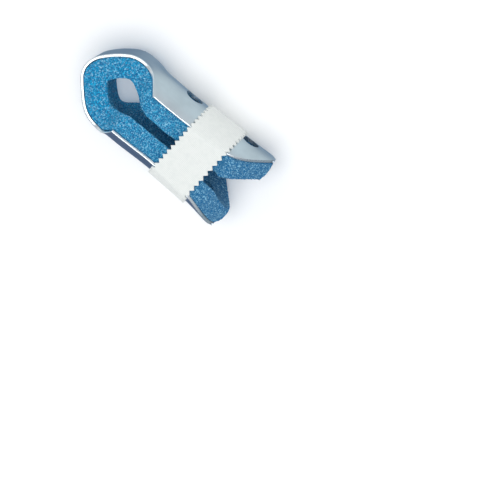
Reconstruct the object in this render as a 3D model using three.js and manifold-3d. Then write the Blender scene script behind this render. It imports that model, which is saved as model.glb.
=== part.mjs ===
// A fold-over finger splint: a soft aluminium blank with two arched paddles and
// a narrower bridge is lined with foam, folded over the fingertip, and bound
// with cloth tape whose edges are pinked.
//
// The model frame has the nose of the fold at x = 0 and the finger along +X,
// +Y to the back of the finger and +Z to one side of it. Units are millimetres.
// At the end the splint is laid on its side, centred over the origin.

import * as THREE from 'three';
import { mergeVertices } from 'three/addons/utils/BufferGeometryUtils.js';
import Module from 'manifold-3d';

// Driving dimensions: the aluminium blank
const METAL_WALL = 1.0;
const BRIDGE_HALF_WIDTH = 6.0;
const WING_HALF_WIDTH = 12.9;
const END_ROUND = 12.9;
const END_BLUNT = 1.6;
const END_TAPER = 0.75;
const ARCH_OPENING = 0.35;

// Driving dimensions: the leg on the back of the finger. Its head is the fold's
// outer face as arcs, each but the last with its turn in degrees.
const DORSAL_NOSE_RADIUS = 8.0;
const DORSAL_NOSE_TURN = 37;
const DORSAL_CHEEK_RADIUS = 28.0;
const DORSAL_CHEEK_TURN = 17;
const DORSAL_BROW_RADIUS = 9.4;
const DORSAL_LENGTH = 60.0;
const DORSAL_SHOULDER = 21.5;
const DORSAL_NECK_FILLET = 5.6;
const DORSAL_NECK_ANGLE = 50;
const DORSAL_ARCH_RADIUS = 16.0;
const DORSAL_CROWN = 0.2;
const DORSAL_SINK = 0.0;
const DORSAL_FLARE = 1.75;
const DORSAL_FLARE_RUN = 36.0;

// Driving dimensions: the leg under the finger
const PALMAR_NOSE_RADIUS = 6.2;
const PALMAR_NOSE_TURN = 38;
const PALMAR_CHEEK_RADIUS = 45.0;
const PALMAR_CHEEK_TURN = 10;
const PALMAR_BROW_RADIUS = 11.1;
const PALMAR_LENGTH = 58.3;
const PALMAR_SHOULDER = 18.9;
const PALMAR_NECK_FILLET = 3.2;
const PALMAR_NECK_ANGLE = 60;
const PALMAR_ARCH_RADIUS = 17.8;
const PALMAR_CROWN = 0.4;
const PALMAR_SINK = 0.8;
const PALMAR_FLARE = 1.1;
const PALMAR_FLARE_RUN = 12.0;

// Driving dimensions: the foam liner
const FOAM_THICKNESS = 6.35;
const FOAM_PROUD = 0.15;
const FOAM_BULGE = 1.1;
const HEAD_BULGE = 0.35;
const DORSAL_END_SWELL = 0.6;
const PALMAR_END_SWELL = 1.3;
const PAD_ARCH_RADIUS = 18.0;
const FOLD_BUNCHING = 1.0;
const SLOT_HALF_HEIGHT = 1.38;
const SLOT_RISE = 0.4;
const PALMAR_LIP_OPENING = 1.3;
const WINDOW_LENGTH = 13.6;
const WINDOW_HALF_HEIGHT = 4.85;
const WINDOW_PEAK = 0.36;
const FINGER_LEAD_IN = 4.0;

// Driving dimensions: the vent holes, as distances from each leg's end
const VENT_DIAMETER = 5.8;
const VENTS_FROM_END = [9.1, 29.7];

// Driving dimensions: the cloth tape
const TAPE_WALL = 0.6;
const TAPE_WIDTH = 12.7;
const TAPE_START = 35.1;
const TAPE_SKEW = 0.45;
const SQUEEZE_FADE = 4.0;
const TOOTH_PITCH = 1.9;
const TOOTH_DEPTH = 1.0;

// Clearance between neighbouring pieces, and the least edge and face after a cut
const GAP = 0.3;
const SHORTEST_EDGE = 0.02;
const THINNEST_FACE = 0.01;

// Outline of the window in the side of the fold. along is a share of the
// window's length from its pointed end, up a share of its half height.
const WINDOW_OUTLINE = [
  { along: 0.0, up: 0.05 },
  { along: 0.07, up: 0.39 },
  { along: 0.16, up: 0.71 },
  { along: WINDOW_PEAK, up: 1.04 },
  { along: 0.55, up: 0.91 },
  { along: 0.73, up: 0.74 },
  { along: 0.91, up: 0.47 },
  { along: 1.1, up: 0.27 },
  { along: 1.1, up: -0.27 },
  { along: 0.87, up: -0.34 },
  { along: 0.64, up: -0.67 },
  { along: 0.42, up: -0.94 },
  { along: 0.29, up: -0.8 },
  { along: 0.11, up: -0.36 },
];

// A bend this slight is flat
const FLAT = 1e-5;

const { degToRad, smoothstep, lerp } = THREE.MathUtils;

// The outer face of one half of the fold, from the nose to the leg. The heading
// starts straight up, and each arc turns it further along the finger.
function traceHead(noseRadius, noseTurn, cheekRadius, cheekTurn, browRadius) {
  const stepDegrees = 6;
  const arcs = [
    { radius: noseRadius, turn: noseTurn },
    { radius: cheekRadius, turn: cheekTurn },
    { radius: browRadius, turn: 90 - noseTurn - cheekTurn },
  ];
  const points = [{ x: 0, y: 0, heading: Math.PI / 2 }];
  for (const { radius, turn } of arcs) {
    const start = points[points.length - 1];
    const centreX = start.x + radius * Math.sin(start.heading);
    const centreY = start.y - radius * Math.cos(start.heading);
    const steps = Math.ceil(turn / stepDegrees);
    for (let i = 1; i <= steps; i += 1) {
      const heading = start.heading - degToRad(turn) * (i / steps);
      points.push({
        x: centreX - radius * Math.sin(heading),
        y: centreY + radius * Math.cos(heading),
        heading,
      });
    }
  }
  return points;
}

const DORSAL = {
  side: 1,
  head: traceHead(
    DORSAL_NOSE_RADIUS,
    DORSAL_NOSE_TURN,
    DORSAL_CHEEK_RADIUS,
    DORSAL_CHEEK_TURN,
    DORSAL_BROW_RADIUS,
  ),
  length: DORSAL_LENGTH,
  shoulder: DORSAL_SHOULDER,
  neckFillet: DORSAL_NECK_FILLET,
  neckAngle: DORSAL_NECK_ANGLE,
  archRadius: DORSAL_ARCH_RADIUS,
  crown: DORSAL_CROWN,
  sink: DORSAL_SINK,
  flare: DORSAL_FLARE,
  flareRun: DORSAL_FLARE_RUN,
  endSwell: DORSAL_END_SWELL,
  lipOpening: 0,
};
const PALMAR = {
  side: -1,
  head: traceHead(
    PALMAR_NOSE_RADIUS,
    PALMAR_NOSE_TURN,
    PALMAR_CHEEK_RADIUS,
    PALMAR_CHEEK_TURN,
    PALMAR_BROW_RADIUS,
  ),
  length: PALMAR_LENGTH,
  shoulder: PALMAR_SHOULDER,
  neckFillet: PALMAR_NECK_FILLET,
  neckAngle: PALMAR_NECK_ANGLE,
  archRadius: PALMAR_ARCH_RADIUS,
  crown: PALMAR_CROWN,
  sink: PALMAR_SINK,
  flare: PALMAR_FLARE,
  flareRun: PALMAR_FLARE_RUN,
  endSwell: PALMAR_END_SWELL,
  lipOpening: PALMAR_LIP_OPENING,
};
for (const leg of [DORSAL, PALMAR]) {
  const headEnd = leg.head[leg.head.length - 1];
  leg.headLength = headEnd.x;
  leg.headHeight = headEnd.y;
}
const TAPE_END = TAPE_START + TAPE_WIDTH;

// Height of a leg's outer face over the middle plane, along its spine: a crown
// at the wings' corners, a sink as far as the tape, and a tip that flares
function spineHeight(leg, x) {
  const flarePower = 1.5;
  const crown = leg.crown * smoothstep(x, leg.headLength, leg.shoulder);
  const sink = leg.sink * smoothstep(x, leg.shoulder, TAPE_START);
  const run = Math.max(0, x - leg.length + leg.flareRun) / leg.flareRun;
  return leg.headHeight + crown - sink + leg.flare * run ** flarePower;
}

function spineSlope(leg, x) {
  const step = 0.05;
  return (spineHeight(leg, x + step) - spineHeight(leg, x - step)) / (2 * step);
}

// How far x lies into a leg's rounded end, from 0 to 1
function endShare(leg, x, overrun = 0) {
  const roundStart = leg.length + overrun - END_ROUND;
  return Math.min(1, Math.max(0, x - roundStart) / END_ROUND);
}

// Half of the flat width of a leg: bridge, concave neck, straight flank up to
// the shoulder corner, parallel sides and a rounded end
function halfWidth(leg, x, overrun = 0) {
  const fillet = leg.neckFillet;
  const turn = degToRad(leg.neckAngle);
  const rise = WING_HALF_WIDTH - BRIDGE_HALF_WIDTH;
  const flankStart = leg.shoulder - (rise - fillet * (1 - Math.cos(turn))) / Math.tan(turn);
  const filletStart = flankStart - fillet * Math.sin(turn);
  if (x <= filletStart) return BRIDGE_HALF_WIDTH;
  if (x <= flankStart) {
    const run = x - filletStart;
    return BRIDGE_HALF_WIDTH + fillet - Math.sqrt(fillet ** 2 - run ** 2);
  }
  if (x < leg.shoulder) return WING_HALF_WIDTH - (leg.shoulder - x) * Math.tan(turn);
  const share = endShare(leg, x, overrun);
  return Math.max(END_BLUNT, WING_HALF_WIDTH * (1 - share * share) ** END_TAPER);
}

// How strongly a leg is arched across: flat at the bridge, roundest at the
// corners of the wings, and opening from there to the tip
function arch(leg, x) {
  const wing = smoothstep(x, leg.headLength, leg.shoulder);
  const along = Math.max(0, x - leg.shoulder) / (leg.length - leg.shoulder);
  return Math.max(FLAT, wing / (leg.archRadius * (1 + ARCH_OPENING * along * along)));
}

// Places across a leg's section: v is the flat distance from the spine, depth
// the distance below the outer face. drop is measured towards the middle plane.
function across(bend, v, depth) {
  const angle = v * bend;
  return {
    z: Math.sin(angle) / bend - depth * Math.sin(angle),
    drop: (1 - Math.cos(angle)) / bend + depth * Math.cos(angle),
  };
}

// Where the stations along a leg lie, from the head to the rounded end
function legStations(leg, overrun = 0) {
  const end = leg.length + overrun;
  const roundStart = end - END_ROUND;
  const places = [];
  const neckSteps = 9;
  for (let i = 1; i <= neckSteps; i += 1) {
    places.push(lerp(leg.headLength, leg.shoulder, i / neckSteps));
  }
  const sideSteps = 12;
  for (let i = 1; i <= sideSteps; i += 1) {
    places.push(lerp(leg.shoulder, roundStart, i / sideSteps));
  }
  const roundSteps = 9;
  for (let i = 1; i <= roundSteps; i += 1) {
    places.push(roundStart + END_ROUND * Math.sin((Math.PI / 2) * (i / roundSteps)));
  }
  return places;
}

// Joins a list of rings, each with the same number of points, into one closed
// body. ends says how: a loop has none, a strip pairs the points of an end ring
// from both of its sides, and a fan joins them to their middle.
function loft(rings, ends) {
  const isLoop = ends === 'loop';
  const count = rings[0].length;
  const points = rings.flat();
  const index = [];
  const quad = (a, b, c, d) => index.push(a, b, c, a, c, d);
  const lastRing = rings.length - (isLoop ? 0 : 1);
  for (let i = 0; i < lastRing; i += 1) {
    const here = i * count;
    const next = ((i + 1) % rings.length) * count;
    for (let k = 0; k < count; k += 1) {
      const along = (k + 1) % count;
      quad(here + k, here + along, next + along, next + k);
    }
  }
  const last = (rings.length - 1) * count;
  if (ends === 'strip') {
    for (let k = 0; k < count / 2 - 1; k += 1) {
      const mate = count - 1 - k;
      quad(k, mate, mate - 1, k + 1);
      quad(last + k, last + k + 1, last + mate - 1, last + mate);
    }
  }
  if (ends === 'fan') {
    const firstMiddle = points.push(middleOf(rings[0])) - 1;
    const lastMiddle = points.push(middleOf(rings[rings.length - 1])) - 1;
    for (let k = 0; k < count; k += 1) {
      const along = (k + 1) % count;
      index.push(firstMiddle, along, k);
      index.push(lastMiddle, last + k, last + along);
    }
  }
  const positions = points.flatMap((point) => [point.x, point.y, point.z]);
  const geometry = new THREE.BufferGeometry();
  geometry.setAttribute('position', new THREE.Float32BufferAttribute(positions, 3));
  geometry.setIndex(index);
  return facingOut(geometry);
}

function middleOf(ring) {
  const sum = ring.reduce((total, point) => total.add(point), new THREE.Vector3());
  return sum.divideScalar(ring.length);
}

// Turns every face round if the closed body would have a negative volume
function facingOut(geometry) {
  const position = geometry.getAttribute('position');
  const index = geometry.getIndex();
  const corner = [new THREE.Vector3(), new THREE.Vector3(), new THREE.Vector3()];
  let volume = 0;
  for (let i = 0; i < index.count; i += 3) {
    corner.forEach((point, k) => point.fromBufferAttribute(position, index.getX(i + k)));
    volume += corner[0].dot(corner[1].clone().cross(corner[2]));
  }
  if (volume < 0) index.array.reverse();
  return geometry;
}

// Booleans
const wasm = await Module();
wasm.setup();

function toSolid(geometry) {
  const bare = geometry.clone();
  bare.deleteAttribute('normal');
  bare.deleteAttribute('uv');
  const merged = mergeVertices(bare, 1e-4);
  const mesh = new wasm.Mesh({
    numProp: 3,
    vertProperties: new Float32Array(merged.getAttribute('position').array),
    triVerts: new Uint32Array(merged.getIndex().array),
  });
  return new wasm.Manifold(mesh);
}

function toGeometry(solid) {
  const mesh = solid.getMesh();
  const geometry = new THREE.BufferGeometry();
  geometry.setAttribute('position', new THREE.BufferAttribute(mesh.vertProperties, 3));
  geometry.setIndex(new THREE.BufferAttribute(mesh.triVerts, 1));
  return withoutNeedles(mergeVertices(geometry, 1e-5));
}

// Closes the hair-thin faces that a cut leaves, by merging the two ends of each
// very short edge and dropping the faces that this folds flat
function withoutNeedles(geometry) {
  const position = geometry.getAttribute('position');
  const index = geometry.getIndex();
  const stands = Array.from({ length: position.count }, (_, k) => k);
  const root = (k) => {
    let at = k;
    while (stands[at] !== at) at = stands[at];
    return at;
  };
  const a = new THREE.Vector3();
  const b = new THREE.Vector3();
  for (let i = 0; i < index.count; i += 3) {
    for (let k = 0; k < 3; k += 1) {
      const from = index.getX(i + k);
      const to = index.getX(i + ((k + 1) % 3));
      a.fromBufferAttribute(position, from);
      b.fromBufferAttribute(position, to);
      if (a.distanceTo(b) < SHORTEST_EDGE) stands[root(to)] = root(from);
    }
  }
  const faces = [];
  for (let i = 0; i < index.count; i += 3) {
    const face = [0, 1, 2].map((k) => root(index.getX(i + k)));
    if (new Set(face).size === 3) faces.push(face);
  }
  turnSlivers(position, faces);
  geometry.setIndex(faces.flat());
  return mergeVertices(geometry, 1e-5);
}

// A sliver has a corner that almost lies on its longest edge. That edge is
// turned, so that it joins the sliver's corner to the far corner of the face
// beyond it.
function turnSlivers(position, faces) {
  const place = (k) => new THREE.Vector3().fromBufferAttribute(position, k);
  const passes = 8;
  for (let pass = 0; pass < passes; pass += 1) {
    const owner = new Map();
    faces.forEach((face, f) => {
      face.forEach((from, k) => owner.set(`${from} ${face[(k + 1) % 3]}`, f));
    });
    const touched = new Set();
    faces.forEach((face, f) => {
      const lengths = face.map((from, k) => place(from).distanceTo(place(face[(k + 1) % 3])));
      const longest = lengths.indexOf(Math.max(...lengths));
      const area = new THREE.Triangle(...face.map(place)).getArea();
      if ((2 * area) / lengths[longest] > THINNEST_FACE) return;
      const [from, to, apex] = [0, 1, 2].map((k) => face[(longest + k) % 3]);
      const beyond = owner.get(`${to} ${from}`);
      if (touched.has(f) || touched.has(beyond)) return;
      const far = faces[beyond].find((k) => k !== from && k !== to);
      const isTaken = owner.has(`${apex} ${far}`) || owner.has(`${far} ${apex}`);
      if (isTaken) return;
      faces[f] = [from, far, apex];
      faces[beyond] = [far, to, apex];
      owner.set(`${apex} ${far}`, f);
      touched.add(f);
      touched.add(beyond);
    });
    if (touched.size === 0) return;
  }
}

// The vent holes, as round punches standing on the spine of each leg
function ventPunches() {
  const reach = 2 * DORSAL.headHeight;
  const punches = [];
  for (const leg of [DORSAL, PALMAR]) {
    for (const fromEnd of VENTS_FROM_END) {
      const punch = new THREE.CylinderGeometry(VENT_DIAMETER / 2, VENT_DIAMETER / 2, reach, 28);
      punch.translate(leg.length - fromEnd, leg.side * reach * 0.5, 0);
      punches.push(toSolid(punch));
    }
  }
  return punches;
}

// One ring of the aluminium sheet: its outer face one way, its inner face back
function sheetRing(station, steps) {
  const { x, y, normalX, normalY, half, bend } = station;
  const place = (v, depth) => {
    const { z, drop } = across(bend, v, depth);
    return new THREE.Vector3(x - normalX * drop, y - normalY * drop, z);
  };
  const ring = [];
  for (let i = 0; i <= steps; i += 1) ring.push(place(lerp(-half, half, i / steps), 0));
  for (let i = steps; i >= 0; i -= 1) ring.push(place(lerp(-half, half, i / steps), METAL_WALL));
  return ring;
}

function legSheetStations(leg) {
  return legStations(leg).map((x) => {
    const slope = spineSlope(leg, x);
    const length = Math.hypot(1, slope);
    return {
      x,
      y: leg.side * spineHeight(leg, x),
      normalX: -slope / length,
      normalY: leg.side / length,
      half: halfWidth(leg, x),
      bend: arch(leg, x),
    };
  });
}

function headSheetStations(leg) {
  return leg.head.map(({ x, y, heading }) => ({
    x,
    y: leg.side * y,
    normalX: -Math.sin(heading),
    normalY: leg.side * Math.cos(heading),
    half: halfWidth(leg, x),
    bend: FLAT,
  }));
}

// The aluminium shell, lofted from one rounded end over the fold to the other
function aluminiumShell() {
  const acrossSteps = 8;
  const stations = [
    ...legSheetStations(DORSAL).reverse(),
    ...headSheetStations(DORSAL).reverse(),
    ...headSheetStations(PALMAR).slice(1),
    ...legSheetStations(PALMAR),
  ];
  let sheet = toSolid(loft(stations.map((station) => sheetRing(station, acrossSteps)), 'strip'));
  for (const punch of ventPunches()) sheet = sheet.subtract(punch);
  return toGeometry(sheet);
}

// 1 where the tape squeezes the foam's sides, and 0 once it is well clear of them
function underTape(x) {
  const rise = smoothstep(x, TAPE_START - SQUEEZE_FADE, TAPE_START - TOOTH_DEPTH);
  const fall = smoothstep(x, TAPE_END + TOOTH_DEPTH, TAPE_END + SQUEEZE_FADE);
  return rise * (1 - fall);
}

// One ring of a half of the foam: up one side, over the arch under the metal,
// and down the other side past the middle plane. The sides bulge out under the
// metal's edge, fullest nearer the top, and stay a little full at the bottom.
// At the rounded end they swell along the finger too.
function foamRing(leg, place) {
  const { x, height, half, bend, bulge, swell } = place;
  const inset = METAL_WALL + GAP;
  const overlap = 1.0;
  const archSteps = 10;
  const sideSteps = 5;
  const fullness = 0.75;
  const bottomShare = 0.82;
  const swellDepth = 7.5;
  const edge = across(bend, half, inset);
  const top = height + inset - edge.drop;
  const right = [];
  for (let i = 1; i <= sideSteps; i += 1) {
    const share = i / sideSteps;
    const y = lerp(top, -overlap, share);
    const proud = bulge * Math.sin(Math.PI * Math.min(bottomShare, share ** fullness));
    const lean = swell * Math.sin(Math.PI * Math.min(1, (top - y) / swellDepth));
    right.push({ x: x + lean, y, z: edge.z + proud });
  }
  const arc = [];
  for (let i = 0; i <= archSteps; i += 1) {
    const { z, drop } = across(bend, lerp(-half, half, i / archSteps), inset);
    arc.push({ x, y: height + inset - drop, z });
  }
  const left = right.map((point) => ({ ...point, z: -point.z })).reverse();
  return [...left, ...arc, ...right].map((point) => (
    new THREE.Vector3(point.x, leg.side * point.y, point.z)
  ));
}

function foamHalf(leg) {
  const inset = METAL_WALL + GAP;
  const firstHeading = degToRad(86);
  const squeeze = 0.9;
  const headRings = leg.head.filter(({ heading }) => heading < firstHeading).map((point) => ({
    x: point.x + inset * Math.sin(point.heading),
    height: point.y - inset * Math.cos(point.heading),
    half: halfWidth(leg, point.x),
    bend: FLAT,
    bulge: HEAD_BULGE,
    swell: 0,
  }));
  const legRings = legStations(leg, FOAM_PROUD).map((x) => {
    const half = halfWidth(leg, x, FOAM_PROUD);
    const wing = smoothstep(half, BRIDGE_HALF_WIDTH, WING_HALF_WIDTH);
    return {
      x,
      height: spineHeight(leg, x) - inset,
      half,
      bend: arch(leg, x),
      bulge: lerp(HEAD_BULGE, FOAM_BULGE, wing) * (1 - squeeze * underTape(x)),
      swell: leg.endSwell * endShare(leg, x, FOAM_PROUD) ** 2,
    };
  });
  const rings = [...headRings, ...legRings].map((place) => foamRing(leg, place));
  return toSolid(loft(rings, 'fan'));
}

// The foam bunches where it is folded over the nose, so the window starts later
const WINDOW_START = METAL_WALL + FOAM_THICKNESS + FOLD_BUNCHING;

// The window in the side of the fold, cut straight through from side to side
function windowPunch() {
  const outline = WINDOW_OUTLINE.map(({ along, up }) => (
    new THREE.Vector2(WINDOW_START + along * WINDOW_LENGTH, SLOT_RISE + up * WINDOW_HALF_HEIGHT)
  ));
  const curve = new THREE.CatmullRomCurve3(
    outline.map((point) => new THREE.Vector3(point.x, point.y, 0)),
    true,
  );
  const around = curve.getPoints(4 * WINDOW_OUTLINE.length).slice(0, -1);
  const shape = new THREE.Shape(around.map(({ x, y }) => new THREE.Vector2(x, y)));
  const depth = 4 * WING_HALF_WIDTH;
  const prism = new THREE.ExtrudeGeometry(shape, { depth, bevelEnabled: false });
  prism.translate(0, 0, -depth / 2);
  return toSolid(prism);
}

// The space for the finger between the two legs, with the slots at its sides.
// Each pad's inner face is a round trough that ends at the lips of the slot.
function fingerSpace() {
  const start = WINDOW_START + WINDOW_LENGTH * WINDOW_PEAK;
  const reach = 1.5 * WING_HALF_WIDTH;
  const steps = 12;
  const roof = (leg, x, z) => {
    const chord = Math.min(1, Math.abs(z) / PAD_ARCH_RADIUS);
    const drop = PAD_ARCH_RADIUS * (1 - Math.sqrt(1 - chord * chord));
    const leadIn = 1 - smoothstep(x, start, start + FINGER_LEAD_IN);
    const crown = spineHeight(leg, x) - METAL_WALL - FOAM_THICKNESS - drop;
    const opening = leg.lipOpening * smoothstep(x, TAPE_START, leg.length);
    return Math.max(SLOT_HALF_HEIGHT + leg.side * SLOT_RISE + opening, crown - leadIn);
  };
  const end = Math.max(DORSAL_LENGTH, PALMAR_LENGTH) + FOAM_PROUD + PALMAR_END_SWELL + METAL_WALL;
  const rings = [];
  const lengthSteps = 22;
  for (let i = 0; i <= lengthSteps; i += 1) {
    const x = lerp(start, end, i / lengthSteps);
    const place = (leg, k) => {
      const z = reach * Math.sin((Math.PI / 2) * lerp(-1, 1, k / steps));
      return new THREE.Vector3(x, leg.side * roof(leg, x, z), z);
    };
    const ring = [];
    for (let k = 0; k <= steps; k += 1) ring.push(place(DORSAL, k));
    for (let k = steps; k >= 0; k -= 1) ring.push(place(PALMAR, k));
    rings.push(ring);
  }
  return toSolid(loft(rings, 'strip'));
}

// The foam liner, both halves joined at the head and hollowed for the finger
function foamLiner() {
  let foam = foamHalf(DORSAL).add(foamHalf(PALMAR));
  foam = foam.subtract(windowPunch());
  foam = foam.subtract(fingerSpace());
  for (const punch of ventPunches()) foam = foam.subtract(punch);
  return toGeometry(foam);
}

// The way round the splint that the tape takes: over the back, down the flat
// side between the two metal edges, under the pad side and up the other flat
// side. Each stop has a place on the tape's inner face and its way outwards.
function tapeStops() {
  const arcSteps = 40;
  const cornerSteps = 6;
  const flatSteps = 34;
  const stops = [];
  const half = WING_HALF_WIDTH;
  for (const leg of [DORSAL, PALMAR]) {
    const turn = leg.side;
    for (let i = 0; i <= arcSteps; i += 1) {
      stops.push({ leg, v: turn * lerp(-half, half, i / arcSteps), swing: 0, down: 0 });
    }
    for (let i = 1; i <= cornerSteps; i += 1) {
      stops.push({ leg, v: turn * half, swing: i / cornerSteps, down: 0 });
    }
    for (let i = 1; i < flatSteps; i += 1) {
      stops.push({ leg, v: turn * half, swing: 1, down: i / flatSteps });
    }
    const other = leg === DORSAL ? PALMAR : DORSAL;
    for (let i = cornerSteps; i >= 1; i -= 1) {
      stops.push({ leg: other, v: turn * half, swing: i / cornerSteps, down: 0 });
    }
  }
  return stops;
}

// How far the tape's flat sides stand from the middle of the width: clear of
// both legs' edges, which are furthest apart where the tape ends
const TAPE_SIDE = GAP + Math.max(
  ...[DORSAL, PALMAR].map((leg) => across(arch(leg, TAPE_END), WING_HALF_WIDTH, 0).z),
);

// The tape's inner face on a leg, v from its spine. swing takes it round the
// metal's edge, from 0 on the arch to 1 on the flat side.
function tapeOnLeg(leg, x, v, swing) {
  const { z, drop } = across(arch(leg, x), v, -GAP);
  const out = (TAPE_SIDE - Math.abs(z)) * swing;
  return {
    y: leg.side * (spineHeight(leg, x) - drop - out),
    z: Math.sign(v) * (Math.abs(z) + out),
    tilt: lerp(Math.abs(v) * arch(leg, x), Math.PI / 2, swing),
  };
}

function tapePlace(stop, x, outward) {
  const hand = Math.sign(stop.v);
  const near = tapeOnLeg(stop.leg, x, stop.v, stop.swing);
  const far = tapeOnLeg(stop.leg === DORSAL ? PALMAR : DORSAL, x, stop.v, 1);
  const y = stop.down > 0 ? lerp(near.y, far.y, stop.down) : near.y;
  return {
    y: y + stop.leg.side * outward * Math.cos(near.tilt),
    z: near.z + hand * outward * Math.sin(near.tilt),
  };
}

// The cloth tape: a closed band whose two edges run in and out in even teeth
function adhesiveTape() {
  const stops = tapeStops();
  const middle = TAPE_START + TAPE_WIDTH / 2;
  const walked = [0];
  const corner = stops.map((stop) => tapePlace(stop, middle, TAPE_WALL));
  for (let i = 1; i <= corner.length; i += 1) {
    const here = corner[i % corner.length];
    const before = corner[i - 1];
    walked.push(walked[i - 1] + Math.hypot(here.y - before.y, here.z - before.z));
  }
  const around = walked[walked.length - 1];
  const teeth = Math.round(around / TOOTH_PITCH);
  const perTooth = 4;
  const rings = [];
  let at = 0;
  for (let i = 0; i < teeth * perTooth; i += 1) {
    const goal = (around * i) / (teeth * perTooth);
    while (walked[at + 1] < goal) at += 1;
    const share = (goal - walked[at]) / (walked[at + 1] - walked[at]);
    const phase = (i % perTooth) / perTooth;
    const notch = TOOTH_DEPTH * (1 - Math.abs(2 * phase - 1));
    rings.push(tapeRing(stops[at], stops[(at + 1) % stops.length], share, notch));
  }
  return loft(rings, 'loop');
}

function tapeRing(stop, nextStop, share, notch) {
  const start = TAPE_START - TOOTH_DEPTH / 2 + notch;
  const end = TAPE_END + TOOTH_DEPTH / 2 - notch;
  const rows = [start, (start + end) / 2, end];
  const place = (x, outward) => {
    const a = tapePlace(stop, x, outward);
    const b = tapePlace(nextStop, x, outward);
    const y = lerp(a.y, b.y, share);
    const z = lerp(a.z, b.z, share);
    return new THREE.Vector3(x + (TAPE_SKEW * y) / DORSAL.headHeight, y, z);
  };
  return [
    ...rows.map((x) => place(x, TAPE_WALL)),
    ...rows.reverse().map((x) => place(x, 0)),
  ];
}

function piece(name, geometry, finish) {
  geometry.computeVertexNormals();
  const mesh = new THREE.Mesh(geometry, new THREE.MeshStandardMaterial(finish));
  mesh.name = name;
  return mesh;
}

const splint = new THREE.Group();
splint.add(
  piece('aluminium_shell', aluminiumShell(), { color: 0xafbec8, roughness: 0.38, metalness: 1.0 }),
  piece('foam_liner', foamLiner(), { color: 0x3f86b5, roughness: 0.95, metalness: 0.0 }),
  piece('adhesive_tape', adhesiveTape(), { color: 0xf0f3ef, roughness: 0.85, metalness: 0.0 }),
);

// Laid on its side: the flat side of the tape rests at z = 0, centred over it
const size = new THREE.Box3().setFromObject(splint);
const centre = size.getCenter(new THREE.Vector3());
splint.position.set(-centre.x, -centre.y, -size.min.z);
splint.updateMatrixWorld(true);

export default splint;
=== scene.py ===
# A fold-over finger splint in Blender: a foam-lined aluminium blank, folded over
# the fingertip and bound with pinked cloth tape. It is laid out as an add-on and
# run as a script. Lengths are in metres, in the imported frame: X along the
# finger, Y to the back of the finger, Z up from the side that the splint lies on.

import math
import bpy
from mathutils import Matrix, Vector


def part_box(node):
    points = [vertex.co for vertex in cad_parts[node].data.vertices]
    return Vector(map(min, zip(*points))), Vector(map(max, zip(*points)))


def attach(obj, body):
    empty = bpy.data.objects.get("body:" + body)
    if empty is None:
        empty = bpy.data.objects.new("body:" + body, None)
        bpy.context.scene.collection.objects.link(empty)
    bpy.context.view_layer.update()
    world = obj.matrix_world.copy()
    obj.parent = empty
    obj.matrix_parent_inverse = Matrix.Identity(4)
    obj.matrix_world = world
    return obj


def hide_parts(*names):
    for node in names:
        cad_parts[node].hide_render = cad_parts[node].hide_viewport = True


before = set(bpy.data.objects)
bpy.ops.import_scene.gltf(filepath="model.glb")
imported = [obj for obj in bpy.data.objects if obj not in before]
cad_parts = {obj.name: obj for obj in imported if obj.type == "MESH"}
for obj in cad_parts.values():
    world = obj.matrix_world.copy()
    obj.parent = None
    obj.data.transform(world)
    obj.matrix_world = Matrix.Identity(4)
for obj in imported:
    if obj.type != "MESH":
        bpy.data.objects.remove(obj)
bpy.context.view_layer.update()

from types import SimpleNamespace

import bpy
import numpy as np
from bpy.props import FloatProperty, FloatVectorProperty, PointerProperty
from mathutils import Matrix, Vector, noise

bl_info = {
    "name": "Fold-over finger splint",
    "version": (1, 0, 0),
    "blender": (4, 5, 0),
    "location": "View3D > Sidebar > Splint",
    "description": "Makes a foam-lined aluminium finger splint bound with cloth tape",
    "category": "Object",
}

MM = 0.001
ROOT = "root"
SHELL_NODE = "aluminium_shell"
FOAM_NODE = "foam_liner"
TAPE_NODE = "adhesive_tape"

# The bend of a sheet that counts as flat, in radians for each metre
FLAT = 0.01

# Lengths between the stations along the metal and along the foam
SHELL_STEP = 0.45 * MM
FOAM_STEP = 0.8 * MM

# Width of the camera's sensor, in millimetres
SENSOR_WIDTH = 36.0


def length(name, millimetres, description):
    """A length property, given in millimetres and kept in metres."""
    metres = millimetres * MM
    return FloatProperty(name=name, description=description, default=metres, unit="LENGTH", precision=5)


def angle(name, degrees, description):
    """An angle property, given in degrees and kept in radians."""
    return FloatProperty(name=name, description=description, default=math.radians(degrees), subtype="ANGLE")


def number(name, value, description, unit="NONE"):
    """A property that is kept as it is given: a bare number, a power in watts or a lens in millimetres."""
    return FloatProperty(name=name, description=description, default=value, unit=unit)


def position(name, metres, description):
    """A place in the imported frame."""
    return FloatVectorProperty(name=name, description=description, default=metres, subtype="TRANSLATION")


def linear(hex_colour):
    """Linear RGB of an sRGB hex value of six digits."""
    shares = [int(hex_colour[i : i + 2], 16) / 255 for i in (0, 2, 4)]
    return [s / 12.92 if s <= 0.04045 else ((s + 0.055) / 1.055) ** 2.4 for s in shares]


def colour(name, hex_colour, description):
    """A colour property, given as sRGB hex and kept linear."""
    rgb = linear(hex_colour)
    return FloatVectorProperty(name=name, description=description, default=rgb, min=0, max=1, subtype="COLOR")


# Sizes and colours that a user would change


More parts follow.
